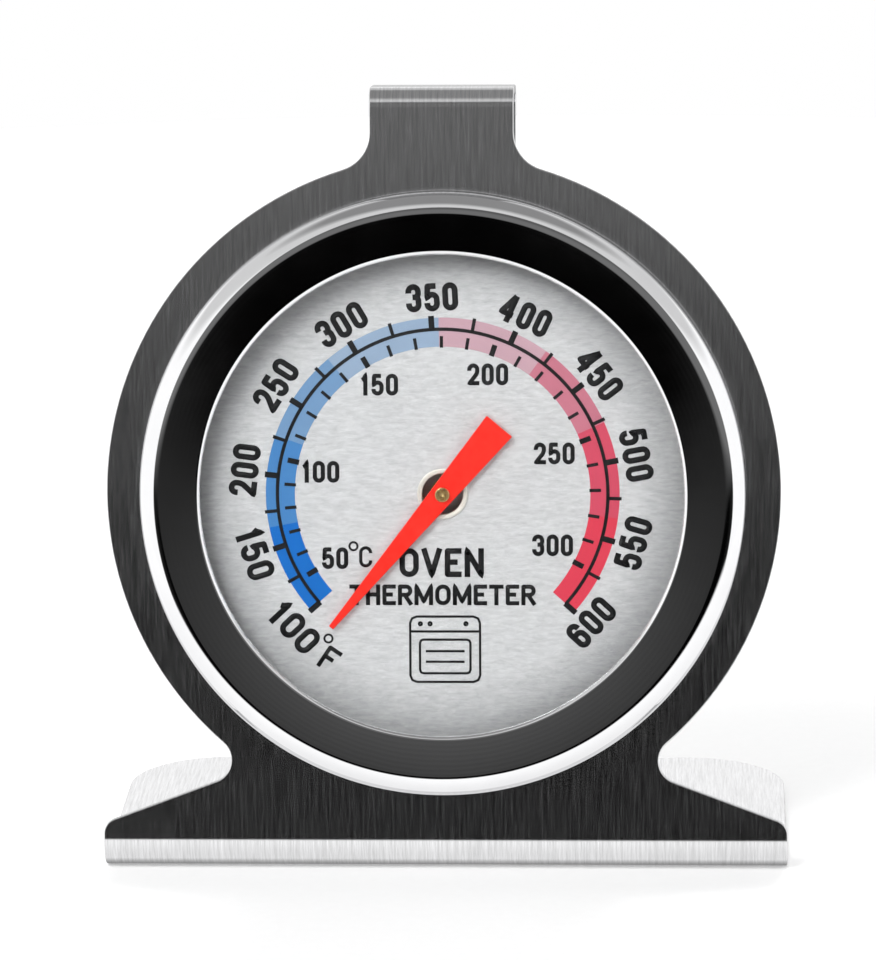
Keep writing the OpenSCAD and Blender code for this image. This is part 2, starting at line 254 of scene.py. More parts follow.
# %% [markdown]
# ### Turned, drawn and polished metal
# A part made on a lathe, or drawn and spun to shape, carries rings about its axis. A Wave
# texture in rings about the gauge's z axis gives them, broken up by a little distortion. The
# polished bezel is the same idea with the rings almost buffed away, plus a slow waviness
# that keeps its reflections from looking computed.

# %% Metals with rings
def ringed_metal(name, dark, light, roughness, pitch=0.2, depth=0.002, cloud=0.25, spread=0.35,
                 metallic=1.0):
    finish, shader = new_finish(name)
    here = gauge_pattern(finish)
    rings = add_node(finish, "TexWave", wave_type="RINGS", rings_direction="Z", Scale=0.32 / pitch,
                     Distortion=1.5, Detail=2.0, Detail_Scale=0.6)
    clouds = add_node(finish, "TexNoise", Scale=cloud, Detail=5.0, Roughness=0.6)
    join(finish, (here, rings.inputs["Vector"]), (here, clouds.inputs["Vector"]))
    shader.inputs["Metallic"].default_value = metallic
    patches = remap(finish, clouds.outputs["Fac"], 0, 1, *NOISE_SPAN)
    join(finish, (two_tone(finish, patches, dark, light), shader.inputs["Base Color"]),
         (remap(finish, clouds.outputs["Fac"], roughness * (1 - spread), roughness * (1 + spread),
                *NOISE_SPAN), shader.inputs["Roughness"]))
    relief(finish, rings.outputs["Fac"], shader, depth)
    return finish


case_steel = ringed_metal("case_steel", (0.64, 0.64, 0.65), (0.70, 0.70, 0.71), 0.30, pitch=0.35,
                          cloud=0.12, spread=0.15)
bezel_steel = ringed_metal("bezel_steel", (0.84, 0.84, 0.85), (0.90, 0.90, 0.91), 0.045,
                           pitch=0.5, depth=0.00012, cloud=0.12)
turned_brass = ringed_metal("turned_brass", (0.72, 0.50, 0.20), (0.86, 0.66, 0.33), 0.28,
                            pitch=0.12)
ring_sheet = ringed_metal("ring_sheet", (0.56, 0.56, 0.57), (0.64, 0.64, 0.65), 0.45)
eyelet_metal = ringed_metal("eyelet_metal", (0.86, 0.82, 0.74), (0.96, 0.93, 0.86), 0.4,
                            pitch=0.25, depth=0.001, metallic=0.3)
bimetal = ringed_metal("bimetal", (0.40, 0.31, 0.24), (0.60, 0.52, 0.44), 0.38, pitch=0.6,
                       cloud=0.5)
print("ringed finishes:", [m.name for m in (case_steel, bezel_steel, turned_brass, eyelet_metal)])

# %% [markdown]
# ### The dial's sheet and its inks
# The dial is a silvery sheet with a fine sideways grain, dull enough to read under a lamp: a
# partly metallic surface with high roughness. The dial is darker towards its rim, in the shade of
# the bezel's lip, and part of that shade is painted into the sheet's colour: the colour is scaled
# down by the distance from the axis. The inks are screen printed over it, so they are thin,
# slightly uneven and less shiny. All the coloured steps of the band share one material that
# reads each step's colour from a colour attribute, because they are one printed ink layer.

# %% Dial sheet, inks and red paint
dial_sheet, shader = brushed_steel("dial_sheet", (0.60, 0.605, 0.615), (0.91, 0.915, 0.925), 0.5,
                                   grain=(2.5, 9, 1), depth=0.0011)
grain_colour = shader.inputs["Base Color"].links[0].from_socket
# Painted shade: the grain's colour is scaled from 1 down to 0.66 between 19.5 and 24.8 mm from the
# axis, in place of part of the bezel lip's shadow on the dial.
from_axis = add_node(dial_sheet, "VectorMath", operation="LENGTH")
flat = gauge_pattern(dial_sheet, (1, 1, 0))
painted_rim_shade = add_node(dial_sheet, "VectorMath", operation="SCALE")
join(dial_sheet, (flat, from_axis.inputs[0]), (grain_colour, painted_rim_shade.inputs[0]),
     (remap(dial_sheet, from_axis.outputs["Value"], 1.0, 0.66, 19.5, 24.8), painted_rim_shade.inputs["Scale"]),
     (painted_rim_shade.outputs["Vector"], shader.inputs["Base Color"]))
shader.inputs["Metallic"].default_value = 0.3
shader.inputs["Specular IOR Level"].default_value = 0.3


def ink(name, colour=None, mottle=0.12):
    finish, shader = new_finish(name)
    speckle = add_node(finish, "TexNoise", Scale=6.0, Detail=4.0, Roughness=0.7)
    join(finish, (gauge_pattern(finish, (1, 1.6, 1)), speckle.inputs["Vector"]))
    shade = add_node(finish, "HueSaturation", Saturation=1.0)
    join(finish, (remap(finish, speckle.outputs["Fac"], 1 - mottle, 1 + mottle, *NOISE_SPAN),
                  shade.inputs["Value"]), (shade.outputs["Color"], shader.inputs["Base Color"]))
    if colour:
        shade.inputs["Color"].default_value = (*colour, 1)
    else:
        printed = add_node(finish, "VertexColor", layer_name="ink")
        join(finish, (printed.outputs["Color"], shade.inputs["Color"]))
    join(finish, (remap(finish, speckle.outputs["Fac"], 0.42, 0.6, *NOISE_SPAN),
                  shader.inputs["Roughness"]))
    shader.inputs["Specular IOR Level"].default_value = 0.3
    return finish


black_ink = ink("black_ink", (0.012, 0.012, 0.013))
band_ink = ink("band_ink", mottle=0.05)
red_paint, shader = new_finish("red_paint")
mist = add_node(red_paint, "TexNoise", Scale=1.4, Detail=6.0, Roughness=0.6)
join(red_paint, (gauge_pattern(red_paint), mist.inputs["Vector"]),
     (two_tone(red_paint, remap(red_paint, mist.outputs["Fac"], 0, 1, *NOISE_SPAN),
               (0.95, 0.023, 0.013), (1.0, 0.036, 0.021)), shader.inputs["Base Color"]),
     (remap(red_paint, mist.outputs["Fac"], 0.30, 0.42, *NOISE_SPAN), shader.inputs["Roughness"]))
shader.inputs["Specular IOR Level"].default_value = 0.35
relief(red_paint, mist.outputs["Fac"], shader, 0.004)
print("inks:", black_ink.name, band_ink.name, "paint:", red_paint.name)

# %% [markdown]
# ### Glass
# The window is a flat pane 1.1 mm thick. A fully transmissive shader bends and mirrors light as
# the pane does, but it also stops light from the lamps, which would leave the dial in the
# dark. So rays from the lamps meet a Transparent shader instead.

# %% Window glass
glass, shader = new_finish("glass")
shader.inputs["Transmission Weight"].default_value = 1.0
shader.inputs["IOR"].default_value = 1.45
smears = add_node(glass, "TexNoise", Scale=0.08, Detail=4.0)
join(glass, (gauge_pattern(glass), smears.inputs["Vector"]),
     (remap(glass, smears.outputs["Fac"], 0.0, 0.015, 0.45, 0.7), shader.inputs["Roughness"]))
clear = add_node(glass, "BsdfTransparent", Color=(0.97, 0.985, 0.98, 1))
ray = add_node(glass, "LightPath")
choose = add_node(glass, "MixShader")
join(glass, (ray.outputs["Is Shadow Ray"], choose.inputs["Fac"]),
     (shader.outputs["BSDF"], choose.inputs[1]), (clear.outputs["BSDF"], choose.inputs[2]),
     (choose.outputs["Shader"], glass.node_tree.nodes["Material Output"].inputs["Surface"]))
print("glass passes lamp light")

# %% [markdown]
# ## The stand
# On the real thermometer the foot, the plate and the hook are one strip of steel, cut to its
# outline, pierced for the gauge and folded three times. It could be built from boxes and
# booleans, but then each fold would have to be faked. Here half of the outline is drawn as a
# chain of edges: a straight run moves an extruded vertex, and an arc spins the last vertex about
# a centre. The chain is filled, the ends are spun into the folds, and the half is mirrored.

# %% Pens that draw a chain of edges
def line_to(bm, last, point):
    made = bmesh.ops.extrude_vert_indiv(bm, verts=[last])["verts"][0]
    made.co = point
    return made


def arc_to(bm, last, centre, degrees, steps):
    made = bmesh.ops.spin(bm, geom=[last], cent=centre, axis=(0, 0, 1), dvec=(0, 0, 0),
                          angle=math.radians(degrees), steps=steps, use_duplicate=False)
    return next(g for g in made["geom_last"] if isinstance(g, bmesh.types.BMVert))


def fill_chain(bm, edges):
    bmesh.ops.remove_doubles(bm, verts=bm.verts[:], dist=1e-5)
    edges = [e for e in bm.edges if e.is_wire or e in edges]
    return bmesh.ops.contextual_create(bm, geom=edges)["faces"][0]


# %% Sizes of the folded sheet, in millimetres
SHEET = 0.8
half_foot, foot_back, foot_corner = 35.5, 19.0, 10.0
bend_r = 3.3
disc_r, hole_r = 34.8, 28.2
waist_r, flare, flare_rise, outer_corner = 2.4, math.radians(20.5), 1.5, 1.6
half_tab, tab_fillet, hook_r, hook_run, leg_length, leg_corner = 7.4, 4.0, 2.0, 4.6, 8.0, 2.0
top_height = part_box("stand")[1].z / MM

plate_low = -(dial_height - bend_r * (1 + math.sin(lean))) / math.cos(lean)
corner_up = plate_low + flare_rise
tilt = math.tan(flare)
drop = corner_up + half_foot * tilt + waist_r / math.cos(flare)
waist_u = (drop * tilt + math.sqrt((drop * tilt) ** 2 - (1 + tilt * tilt)
           * (drop * drop - (disc_r + waist_r) ** 2))) / (1 + tilt * tilt)
waist_v = drop - waist_u * tilt
corner_cut = outer_corner * math.tan((math.pi / 2 - flare) / 2)
fillet_u = half_tab + tab_fillet
fillet_v = math.sqrt((disc_r + tab_fillet) ** 2 - fillet_u ** 2)
hook_v = (top_height - dial_height - hook_r * (1 - math.sin(lean))) / math.cos(lean)
print(f"waist {2 * (waist_u - waist_r):.2f} mm wide, hook {top_height:.2f} mm above the floor")

# %% Half of the plate
sheet = bmesh.new()
fillet_turn = math.degrees(math.atan2(fillet_v, fillet_u))
waist_turn = math.degrees(math.atan2(waist_v, waist_u))
pen = sheet.verts.new((0, hook_v, 0))
pen = line_to(sheet, pen, (half_tab, hook_v, 0))
pen = line_to(sheet, pen, (half_tab, fillet_v, 0))
pen = arc_to(sheet, pen, (fillet_u, fillet_v, 0), fillet_turn, 10)
pen = arc_to(sheet, pen, (0, 0, 0), waist_turn - fillet_turn, 60)
pen = arc_to(sheet, pen, (waist_u, waist_v, 0), 90 - math.degrees(flare) - waist_turn, 12)
pen = line_to(sheet, pen, (half_foot - corner_cut * math.cos(flare),
                           corner_up + corner_cut * math.sin(flare), 0))
pen = arc_to(sheet, pen, (half_foot - outer_corner, corner_up - corner_cut, 0),
             math.degrees(flare) - 90, 7)
pen = line_to(sheet, pen, (half_foot, plate_low, 0))
pen = line_to(sheet, pen, (0, plate_low, 0))
pen = line_to(sheet, pen, (0, -hole_r, 0))
pen = arc_to(sheet, pen, (0, 0, 0), 180, 96)
pen = line_to(sheet, pen, (0, hook_v, 0))
plate = fill_chain(sheet, [])
print("plate outline:", len(plate.verts), "corners")

# %% [markdown]
# A fold is a spin of the edge that it starts from. The centre of the spin lies one bend radius
# behind the front face, because the surface drawn here is the outside of the sheet.

# %% Fold the hook
def edge_at(bm, test):
    return next(e for e in bm.edges if all(test(v.co) for v in e.verts))


def fold(bm, edge, centre, degrees, steps):
    made = bmesh.ops.spin(bm, geom=[edge, *edge.verts], cent=centre, axis=(1, 0, 0), dvec=(0, 0, 0),
                          angle=math.radians(degrees), steps=steps, use_duplicate=False)
    return next(g for g in made["geom_last"] if isinstance(g, bmesh.types.BMEdge))


def near(a, b):
    return abs(a - b) < 1e-3


edge = edge_at(sheet, lambda p: near(p.y, hook_v) and near(p.z, 0))
edge = fold(sheet, edge, (0, hook_v, -hook_r), -90, 10)
run = bmesh.ops.extrude_edge_only(sheet, edges=[edge])["geom"]
edge = next(g for g in run if isinstance(g, bmesh.types.BMEdge) and g.is_boundary
            and near(g.verts[0].co.y, g.verts[1].co.y) and not near(g.calc_length(), 0))
bmesh.ops.translate(sheet, verts=[g for g in run if isinstance(g, bmesh.types.BMVert)],
                    vec=(0, 0, -hook_run))
edge = fold(sheet, edge, (0, hook_v, -hook_r - hook_run), -90, 10)
leg_w = -2 * hook_r - hook_run
leg_low = hook_v + hook_r - leg_length
pen = max(edge.verts, key=lambda v: v.co.x)
pen = line_to(sheet, pen, (half_tab, leg_low + leg_corner, leg_w))
pen = arc_to(sheet, pen, (half_tab - leg_corner, leg_low + leg_corner, leg_w), -90, 7)
pen = line_to(sheet, pen, (0, leg_low, leg_w))
pen = line_to(sheet, pen, (0, hook_v, leg_w))
fill_chain(sheet, [edge])

# %% [markdown]
# The foot is folded from the plate's lower edge by a right angle and the lean. The sheet is then
# carried from the gauge's axes into the frame's, because the foot's outline lies on the floor.

# %% Foot
edge = edge_at(sheet, lambda p: near(p.y, plate_low) and near(p.z, 0))
edge = fold(sheet, edge, (0, plate_low, -bend_r), 90 + math.degrees(lean), 16)
sheet.transform(Matrix.Scale(1 / MM, 4) @ GAUGE)
bend_y = edge.verts[0].co.y
pen = max(edge.verts, key=lambda v: v.co.x)
pen = line_to(sheet, pen, (half_foot, foot_back - foot_corner, 0))
pen = arc_to(sheet, pen, (half_foot - foot_corner, foot_back - foot_corner, 0), 90, 20)
pen = line_to(sheet, pen, (0, foot_back, 0))
pen = line_to(sheet, pen, (0, bend_y, 0))
fill_chain(sheet, [edge])
print("folded half:", len(sheet.faces), "faces, foot starts at y", round(bend_y, 2))

# %% [markdown]
# The mirrored half is welded along the middle. All faces must look outwards before the sheet
# gets its wall, so the front of the plate is checked against the dial's axis. The UV map is
# written here too: its first axis is x, so the grain direction is the same on every fold.

# %% Mirror, orient and map the sheet
bmesh.ops.mirror(sheet, geom=sheet.verts[:] + sheet.edges[:] + sheet.faces[:],
                 matrix=Matrix.Identity(4), merge_dist=1e-4, axis="X")
bmesh.ops.recalc_face_normals(sheet, faces=sheet.faces[:])
front = max(sheet.faces, key=lambda f: f.calc_area() * (len(f.verts) > 100))
if front.normal.dot(dial_out) < 0:
    bmesh.ops.reverse_faces(sheet, faces=sheet.faces[:])
grain = sheet.loops.layers.uv.new("grain")
for face in sheet.faces:
    side = 0.3 if face.calc_center_median().z > 0.75 * top_height else -0.3
    for corner in face.loops:
        p = corner.vert.co
        corner[grain].uv = (p.x * 0.02, (p.z + side * p.y) * 0.02)
stand = as_piece("stand_sheet", sheet, stand_steel, place=ROW, stands_for=["stand"])
add_wall(stand, SHEET)
break_edges(stand, 0.12)
flatten_shading(stand)

# %% [markdown]
# ## Turned shapes
# The bezel, the glass, the eyelet and the pointer's boss are all round about one axis. Their
# sections are drawn once and spun. A section's corners are rounded first, with a bevel of single
# vertices, so that the rounding is exact all the way round. A closed section gives a solid
# ring; edges that lie on the axis are dropped so that the poles close cleanly.

# %% Spin a section about the gauge's axis
def section(corners, closed=True):
    """A chain of (radius, height, rounding, steps) corners in the x-z plane."""
    bm = bmesh.new()
    made = [bm.verts.new((c[0], 0, c[1])) for c in corners]
    bm.faces.new(made)
    if not closed:
        bmesh.ops.delete(bm, geom=[e for e in bm.edges if set(e.verts) == {made[0], made[-1]}],
                         context="EDGES")
    for vert, (_, _, *rounding) in zip(made, corners):
        if rounding:
            bmesh.ops.bevel(bm, geom=[vert], offset=rounding[0], offset_type="OFFSET",
                            affect="VERTICES", segments=rounding[1], profile=0.5, material=-1)
    return bm


def spun(bm, steps=192):
    bmesh.ops.delete(bm, geom=bm.faces[:], context="FACES_ONLY")
    on_axis = [e for e in bm.edges if all(abs(v.co.x) < 1e-6 for v in e.verts)]
    bmesh.ops.delete(bm, geom=on_axis, context="EDGES")
    bmesh.ops.spin(bm, geom=bm.verts[:] + bm.edges[:], cent=(0, 0, 0), axis=(0, 0, 1),
                   dvec=(0, 0, 0), angle=math.tau, steps=steps, use_merge=True,
                   use_duplicate=False)
    bmesh.ops.remove_doubles(bm, verts=bm.verts[:], dist=1e-5)
    bmesh.ops.recalc_face_normals(bm, faces=bm.faces[:])
    return bm


def face_outwards(bm):
    """Turns an open shell over if its topmost face looks down."""
    if max(bm.faces, key=lambda f: f.calc_center_median().z).normal.z < 0:
        bmesh.ops.reverse_faces(bm, faces=bm.faces[:])
    return bm


# %% [markdown]
# ### Bezel
# The bezel is a ring of thin steel, rolled over the case's flange at the back, rounded at its
# shoulder and turned down at its lip onto the glass. Its polished face is what shows most
# on such a gauge: it mirrors the dark room in front, and the shoulder mirrors the bright
# sides. The path below is the outside of the sheet, and Solidify gives the wall.

# %% Bezel
lens_low, lens_high = 2.4, 3.5
seam_r, bezel_r, lip_r, shoulder_high, lip_high = 29.4, 31.2, 24.8, 4.176, 3.954
bezel = spun(section([(seam_r, 0), (bezel_r, 0, 0.5, 6), (bezel_r, shoulder_high, 2.2, 20),
                      (lip_r, lip_high, 0.45, 8), (lip_r, lens_high)], closed=False), 256)
bezel = as_piece("bezel_ring", face_outwards(bezel), bezel_steel,
                 stands_for=["bezel"])
add_wall(bezel, 0.4)
flatten_shading(bezel)

# %% [markdown]
# ### Glass, eyelet and boss
# The glass is a plain disc whose rim is ground to a small bevel. The eyelet is a hollow rivet
# that lines the hole in the dial: its front edge is rolled over. The boss carries the pointer:
# a collar below it, a tenon through it and a closed head with a turned ring and a centre mark,
# left by the lathe. All three are closed sections, so one spin makes each of them solid.

# %% Glass, eyelet and boss
lens_r = 29.6
lens = spun(section([(0, lens_low), (lens_r, lens_low, 0.12, 3), (lens_r, lens_high, 0.12, 3),
                     (0, lens_high)]), 128)
lens = as_piece("window_glass", lens, glass, stands_for=["lens"])
flatten_shading(lens)

bore_r, neck_r, rim_r, dial_low, dial_high = 2.1, 2.3, 2.6, 0.7, 1.0
eyelet = spun(section([(bore_r, 0.5, 0.08, 3), (rim_r, 0.5, 0.09, 3), (rim_r, dial_low),
                       (neck_r, dial_low), (neck_r, dial_high), (rim_r, dial_high),
                       (rim_r, 1.2, 0.12, 6), (bore_r, 1.2, 0.16, 6)]), 96)
eyelet = as_piece("eyelet", eyelet, eyelet_metal, stands_for=["dial_eyelet"])
flatten_shading(eyelet)

pointer_low, pointer_high = 1.45, 1.65
collar_r, tenon_r, head_r, boss_low, boss_high = 1.1, 0.6, 0.75, 0.9, 1.95
boss = spun(section([(0, boss_low), (collar_r, boss_low, 0.08, 3), (collar_r, pointer_low, 0.08, 3),
                     (tenon_r, pointer_low), (tenon_r, pointer_high), (head_r, pointer_high),
                     (head_r, boss_high, 0.1, 5), (0.46, boss_high), (0.43, 1.9), (0.36, 1.9),
                     (0.33, boss_high), (0.16, boss_high, 0.03, 2), (0.0, 1.87)]), 96)
boss = as_piece("pointer_boss_turned", boss, turned_brass, body="pointer_body",
                stands_for=["pointer_boss"])
flatten_shading(boss)

# %% [markdown]
# ### Pointer
# The pointer is stamped from thin sheet and painted. It is a long wedge: a flat cut tip, a wide
# flat tail. Half of its outline is drawn with half of the boss's hole cut out of it, then mirrored
# and extruded; the stamping leaves its edges slightly rounded, which is where the paint shines.

# %% Pointer
tip_length, tail_length, half_tip, half_tail = 18.0, 9.2, 0.275, 1.7
rest_turn = math.radians(219.9)

blade = bmesh.new()
pen = first = blade.verts.new((0, tip_length, pointer_low))
pen = line_to(blade, pen, (half_tip, tip_length, pointer_low))
pen = line_to(blade, pen, (half_tail, -tail_length, pointer_low))
pen = line_to(blade, pen, (0, -tail_length, pointer_low))
pen = line_to(blade, pen, (0, -tenon_r, pointer_low))
pen = arc_to(blade, pen, (0, 0, pointer_low), 180, 24)
pen = line_to(blade, pen, (0, tip_length, pointer_low))
fill_chain(blade, [])
bmesh.ops.mirror(blade, geom=blade.verts[:] + blade.edges[:] + blade.faces[:],
                 matrix=Matrix.Identity(4), merge_dist=1e-4, axis="X")
lifted = bmesh.ops.extrude_face_region(blade, geom=blade.faces[:])["geom"]
bmesh.ops.translate(blade, verts=[g for g in lifted if isinstance(g, bmesh.types.BMVert)],
                    vec=(0, 0, pointer_high - pointer_low))
bmesh.ops.recalc_face_normals(blade, faces=blade.faces[:])
bmesh.ops.rotate(blade, verts=blade.verts[:], cent=(0, 0, 0),
                 matrix=Matrix.Rotation(-rest_turn, 3, "Z"))
pointer = as_piece("pointer_blade", blade, red_paint, body="pointer_body",
                   stands_for=["pointer"])
break_edges(pointer, 0.07, 3)
flatten_shading(pointer)

# %% [markdown]
# ## Printed marks
# The scale is screen printed in two passes: a band in steps from blue to pink, then everything
# black. A texture image would be the usual way, but thin solids keep every edge crisp at any
# distance and stay part of the mesh. Arcs are spun from a short radial edge and lifted by the
# thickness of the ink. Angles are measured clockwise from the top of the dial.

# %% Helpers for marks on the dial
PRINT_LOW, PRINT_HIGH, BAND_HIGH = 0.99, 1.02, 1.012
BAND, SCALE_LINE, OUTER_TICK, INNER_TICK = (15.2, 18.2), (16.82, 17.18), (16.9, 18.4), (15.1, 16.3)


def lift(bm, faces, top):
    made = bmesh.ops.extrude_face_region(bm, geom=faces)["geom"]
    bmesh.ops.translate(bm, verts=[g for g in made if isinstance(g, bmesh.types.BMVert)],
                        vec=(0, 0, top - PRINT_LOW))


def arc_mark(bm, inner, outer, start, end, top=PRINT_HIGH):
    """A curved bar between two radii, from angle start to end."""
    edge = bm.edges.new([bm.verts.new((r * math.sin(start), r * math.cos(start), PRINT_LOW))
                         for r in (inner, outer)])
    steps = max(1, round(math.degrees(end - start) / 1.5))
    before = set(bm.faces)
    bmesh.ops.spin(bm, geom=[edge, *edge.verts], cent=(0, 0, 0), axis=(0, 0, -1), dvec=(0, 0, 0),
                   angle=end - start, steps=steps, use_duplicate=False)
    lift(bm, [f for f in bm.faces if f not in before], top)


def tick_mark(bm, inner, outer, angle, width):
    made = bmesh.ops.create_grid(bm, x_segments=1, y_segments=1, size=0.5)["verts"]
    bmesh.ops.scale(bm, verts=made, vec=(width, outer - inner, 1))
    bmesh.ops.translate(bm, verts=made, vec=(0, (outer + inner) / 2, PRINT_LOW))
    bmesh.ops.rotate(bm, verts=made, cent=(0, 0, 0), matrix=Matrix.Rotation(-angle, 3, "Z"))
    lift(bm, list({f for v in made for f in v.link_faces}), PRINT_HIGH)


def rads(*degrees):
    return [math.radians(d) for d in degrees]


# %% Coloured band
band_edges = rads(-131.3, -101, -70.5, -40, -1, 36, 66, 98, 131.9)
band_colours = [(0.008, 0.155, 0.560), (0.070, 0.240, 0.540), (0.180, 0.325, 0.540),
                (0.320, 0.430, 0.585), (0.600, 0.380, 0.440), (0.590, 0.195, 0.262),
                (0.660, 0.080, 0.135), (0.740, 0.055, 0.095)]
band = bmesh.new()
layer = band.loops.layers.float_color.new("ink")
for start, end, colour in zip(band_edges, band_edges[1:], band_colours):
    before = set(band.faces)
    arc_mark(band, *BAND, start, end, BAND_HIGH)
    for face in band.faces:
        if face not in before:
            for corner in face.loops:
                corner[layer] = (*colour, 1)
bmesh.ops.recalc_face_normals(band, faces=band.faces[:])
as_piece("scale_band", band, band_ink)

# %% [markdown]
# The outer scale runs from 100 to 600 in steps of 25, the inner one from 50 to 300 in steps of
# 10. The steps of the outer one are not quite even: they go from 12 to 14 degrees, because a
# bimetal coil's turn for each degree is not constant. So each mark is given its own angle.

# %% Scale line and marks
outer_marks = rads(-131.5, -119.8, -108.1, -95.8, -83.6, -71.1, -57.9, -44.9, -31.1, -17.0, -3.4,
                   10.6, 24.4, 38.0, 51.9, 65.0, 79.1, 91.5, 105.6, 118.5, 132.0)
inner_marks = rads(-121.0, -112.8, -104.1, -95.1, -86.4, -77.5, -68.0, -58.6, -49.4, -39.9, -30.0,
                   -19.9, -9.9, -0.1, 9.6, 19.6, 29.6, 39.4, 49.4, 59.0, 69.2, 79.0, 88.6, 98.4,
                   107.9, 117.5)
marks = bmesh.new()
arc_mark(marks, *SCALE_LINE, outer_marks[0], outer_marks[-1])
for step, angle in enumerate(outer_marks):
    main = step % 2 == 0
    tick_mark(marks, *OUTER_TICK, angle, 0.6 if main else 0.36)
for step, angle in enumerate(inner_marks):
    tick_mark(marks, *INNER_TICK, angle, 0.55 if step % 5 == 0 else 0.34)
bmesh.ops.recalc_face_normals(marks, faces=marks.faces[:])
as_piece("scale_marks", marks, black_ink)

# %% [markdown]
# Dials are lettered in a narrow, bold face with strokes of one width. A text object could supply
# one, but its built-in font is neither narrow nor bold. So each sign is written as a pen would:
# the middle line of a stroke is drawn on a unit box, its corners are rounded by a vertex bevel,
# the line is extruded into an upright ribbon, and Solidify widens the ribbon to the stroke.

# %% Strokes of each figure and letter
# A stroke is a list of (x, y, roundness) on a unit box. One that ends where it starts is closed,
# and roundness 1 makes a corner as round as the sign's width allows.
STROKES = {
    "0": [[(0, 0, 1), (1, 0, 1), (1, 1, 1), (0, 1, 1), (0, 0, 1)]],
    "1": [[(0.1, 0.76), (0.42, 0.82, 0.4), (0.7, 1, 0.1), (0.7, 0)]],
    "2": [[(0, 0.7), (0, 1, 1), (1, 1, 1), (1, 0.56, 0.7), (0.02, 0, 0.12), (1, 0)]],
    "3": [[(0, 0.72), (0, 1, 1), (1, 1, 1), (1, 0.54, 0.8), (0.4, 0.54)],
          [(0.66, 0.54), (1, 0.54, 0.8), (1, 0, 1), (0, 0, 1), (0, 0.28)]],
    "4": [[(0.74, 0), (0.74, 1)], [(0.62, 1), (-0.02, 0.25, 0.12), (1.1, 0.25)]],
    "5": [[(0.95, 1), (0.1, 1, 0.1), (0.03, 0.5, 0.12), (0.3, 0.62, 0.4), (1, 0.62, 1), (1, 0, 1),
           (0, 0, 1), (0, 0.26)]],
    "6": [[(1, 0.74), (1, 1, 1), (0, 1, 1), (0, 0, 1), (1, 0, 1), (1, 0.6, 1), (0.06, 0.6)]],
    "C": [[(1, 0.7), (1, 1, 1), (0, 1, 1), (0, 0, 1), (1, 0, 1), (1, 0.3)]],
    "F": [[(0, 0), (0, 1, 0.06), (1, 1)], [(0.1, 0.52), (0.85, 0.52)]],
    "E": [[(1, 1), (0, 1, 0.06), (0, 0, 0.06), (1, 0)], [(0.1, 0.52), (0.9, 0.52)]],
    "H": [[(0, 0), (0, 1)], [(1, 0), (1, 1)], [(0.1, 0.52), (0.9, 0.52)]],
    "M": [[(0, 0), (0, 1, 0.12), (0.5, 0.1, 0.12), (1, 1, 0.12), (1, 0)]],
    "N": [[(0, 0), (0, 1, 0.12), (1, 0, 0.12), (1, 1)]],
    "R": [[(0, 0), (0, 1, 0.06), (1, 1, 0.8), (1, 0.5, 0.8), (0.1, 0.5)], [(0.5, 0.46), (1, 0)]],
    "T": [[(0, 1), (1, 1)], [(0.5, 0.9), (0.5, 0)]],
    "V": [[(0, 1), (0.5, 0, 0.12), (1, 1)]],
}
STROKES["O"] = STROKES["\u00b0"] = STROKES["0"]
WIDTHS = {"1": 0.82, "4": 1.12, "M": 1.3, "V": 1.12, "N": 1.08, "O": 1.08, "E": 0.94}
print(len(STROKES), "signs")


# %% A pen for them
def stroke_ribbon(bm, points, box, place, cap=0.0):
    """Adds one stroke, drawn on a box (left, bottom, width, height), as an upright ribbon.
    A straight end on the box's edge is drawn on by cap, so that it is as tall as a round one."""
    left, bottom, wide, tall = box
    closed = points[0][:2] == points[-1][:2]
    points = points[:-1] if closed else points
    own = bmesh.new()
    line = [own.verts.new((left + x * wide, bottom + y * tall, PRINT_LOW)) for x, y, *_ in points]
    for end, beside, (x, y, *_) in ((line[0], line[1], points[0]),
                                    (line[-1], line[-2], points[-1])):
        run = (end.co - beside.co).normalized()
        top_or_foot = y in (0, 1) and abs(run.y) > 0.7
        at_a_side = x in (0, 1) and abs(run.x) > 0.99
        if not closed and (top_or_foot or at_a_side):
            end.co += run * cap
    if len(line) == 2:
        own.edges.new(line)
    else:
        own.faces.new(line)
        for vert, (_, _, *roundness) in zip(line, points):
            if roundness:
                bmesh.ops.bevel(own, geom=[vert], offset=roundness[0] * 0.495 * min(wide, tall),
                                offset_type="OFFSET", affect="VERTICES", profile=0.5,
                                segments=1 + round(7 * roundness[0]), material=-1)
        bmesh.ops.delete(own, geom=own.faces[:], context="FACES_ONLY")
        if not closed:
            gap = [e for e in own.edges if set(e.verts) == {line[0], line[-1]}]
            bmesh.ops.delete(own, geom=gap, context="EDGES")
    raised = bmesh.ops.extrude_edge_only(own, edges=own.edges[:])["geom"]
    bmesh.ops.translate(own, verts=[g for g in raised if isinstance(g, bmesh.types.BMVert)],
                        vec=(0, 0, PRINT_HIGH - PRINT_LOW))
    bmesh.ops.recalc_face_normals(own, faces=own.faces[:])
    own.transform(place)
    carrier = bpy.data.meshes.new("stroke")
    own.to_mesh(carrier)
    own.free()
    bm.from_mesh(carrier)
    bpy.data.meshes.remove(carrier)


def lettered(name, stroke, lines):
    """A piece from lines of (words, centre, height, width, turn), all with one stroke width."""
    bm = bmesh.new()
    for words, centre, height, width, turn in lines:
        place = Matrix.Translation((*centre, 0)) @ Matrix.Rotation(-turn, 4, "Z")
        shares = [WIDTHS.get(sign, 1) for sign in words]
        gap = 0.1 * height
        unit = (width - gap * (len(words) - 1)) / sum(shares)
        left = -width / 2
        for sign, share in zip(words, shares):
            box = (left + stroke / 2, (stroke - height) / 2, unit * share - stroke, height - stroke)
            for points in STROKES[sign]:
                stroke_ribbon(bm, points, box, place, cap=stroke / 2)
            left += unit * share + gap
    return inked(name, bm, stroke)


def inked(name, bm, stroke):
    piece = as_piece(name, bm, black_ink)
    add_wall(piece, stroke, offset=0)
    return piece


# %% Figures and words
def on_ring(radius, angle):
    return radius * math.sin(angle), radius * math.cos(angle)


